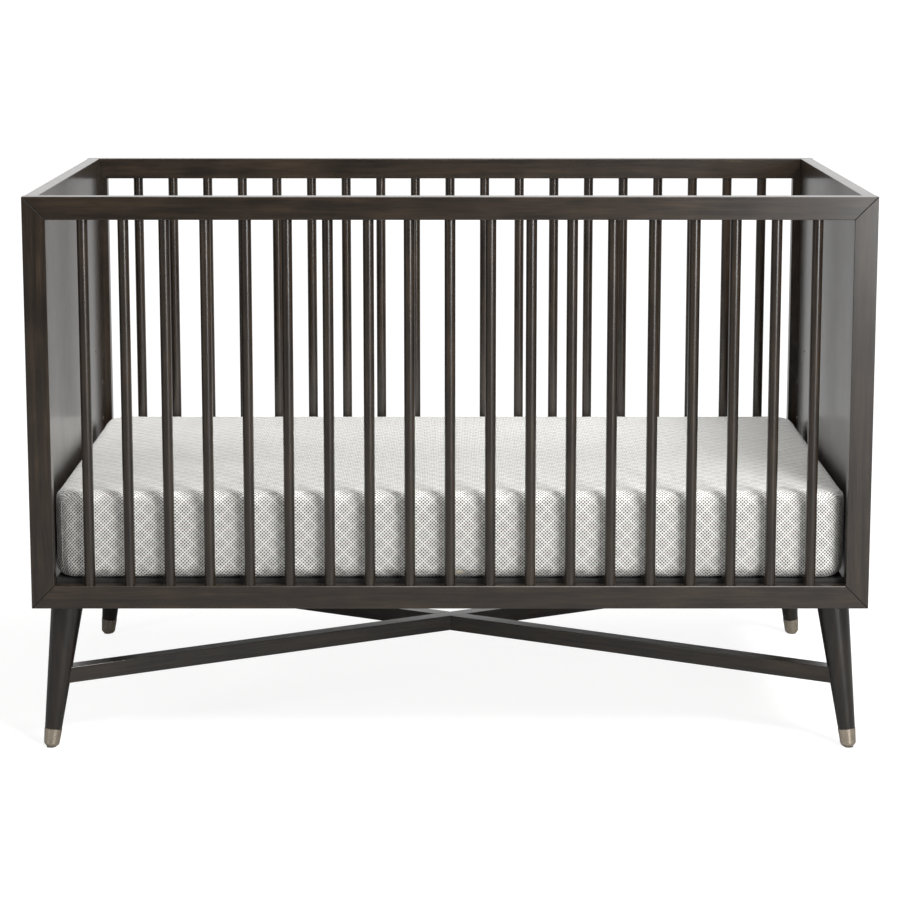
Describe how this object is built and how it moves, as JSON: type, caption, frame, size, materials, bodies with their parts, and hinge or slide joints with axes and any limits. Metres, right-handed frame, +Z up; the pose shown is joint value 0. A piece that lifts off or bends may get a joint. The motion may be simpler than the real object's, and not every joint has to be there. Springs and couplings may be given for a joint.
{
  "type": "baby crib",
  "caption": "Slatted baby crib in dark stained wood: mitred spindle sides, solid end panels, splayed turned legs, crossed stretchers, height-adjustable deck and mattress in a fitted sheet.",
  "frame": {"origin": "on the floor, under the centre of the case", "axes": "+X to the right along the length, +Y from the front side to the rear side, +Z up"},
  "size_m": [1.39, 0.756, 0.934],
  "materials": {
    "stained_wood": "satin",
    "plain_beech": "matte",
    "brushed_nickel": "satin",
    "coated_steel": "satin",
    "zinc_hardware": "satin",
    "glide_plastic": "matte",
    "mattress_ticking": "matte",
    "mattress_filling": "matte",
    "printed_cotton": "matte"
  },
  "bodies": {
    "crib_frame": {"cam_bolts": "zinc_hardware", "cam_locks": "zinc_hardware", "corner_block_screws": "zinc_hardware", "front_bottom_rail": "stained_wood", "front_left_corner_block": "stained_wood", "front_left_ferrule": "brushed_nickel", "front_left_glide": "glide_plastic", "front_left_leg": "stained_wood", "front_left_stile": "stained_wood", "front_right_corner_block": "stained_wood", "front_right_ferrule": "brushed_nickel", "front_right_glide": "glide_plastic", "front_right_leg": "stained_wood", "front_right_stile": "stained_wood", "front_spindles": "stained_wood", "front_top_rail": "stained_wood", "lap_screw": "zinc_hardware", "left_end_panel": "stained_wood", "leg_hanger_bolts": "zinc_hardware", "leg_inserts": "zinc_hardware", "mitre_dowels": "plain_beech", "panel_dowels": "plain_beech", "rear_bottom_rail": "stained_wood", "rear_left_corner_block": "stained_wood", "rear_left_ferrule": "brushed_nickel", "rear_left_glide": "glide_plastic", "rear_left_leg": "stained_wood", "rear_left_stile": "stained_wood", "rear_right_corner_block": "stained_wood", "rear_right_ferrule": "brushed_nickel", "rear_right_glide": "glide_plastic", "rear_right_leg": "stained_wood", "rear_right_stile": "stained_wood", "rear_spindles": "stained_wood", "rear_top_rail": "stained_wood", "right_end_panel": "stained_wood", "shoulder_screws": "zinc_hardware", "stretcher_dowels": "plain_beech", "stretcher_falling": "stained_wood", "stretcher_rising": "stained_wood", "threaded_inserts": "zinc_hardware"},
    "mattress_support": {"front_support_tube": "coated_steel", "rear_support_tube": "coated_steel", "left_support_tube": "coated_steel", "right_support_tube": "coated_steel", "support_cross_bars": "coated_steel", "support_long_wires": "coated_steel", "support_cross_wires": "coated_steel", "front_left_hook": "coated_steel", "front_right_hook": "coated_steel", "rear_left_hook": "coated_steel", "rear_right_hook": "coated_steel"},
    "mattress": {"mattress_cover": "mattress_ticking", "mattress_top_pad": "mattress_filling", "mattress_bottom_pad": "mattress_filling", "mattress_border_foam": "mattress_filling", "mattress_coils": "mattress_filling", "fitted_sheet": "printed_cotton"}
  },
  "joints": [
    {"name": "support_height", "type": "slide", "parent": "crib_frame", "child": "mattress_support", "axis": [0, 0, 1], "range_m": [0, 0.213]},
    {"name": "mattress_lift", "type": "slide", "parent": "mattress_support", "child": "mattress", "axis": [0, 0, 1], "range_m": [0, 0.66]}
  ]
}
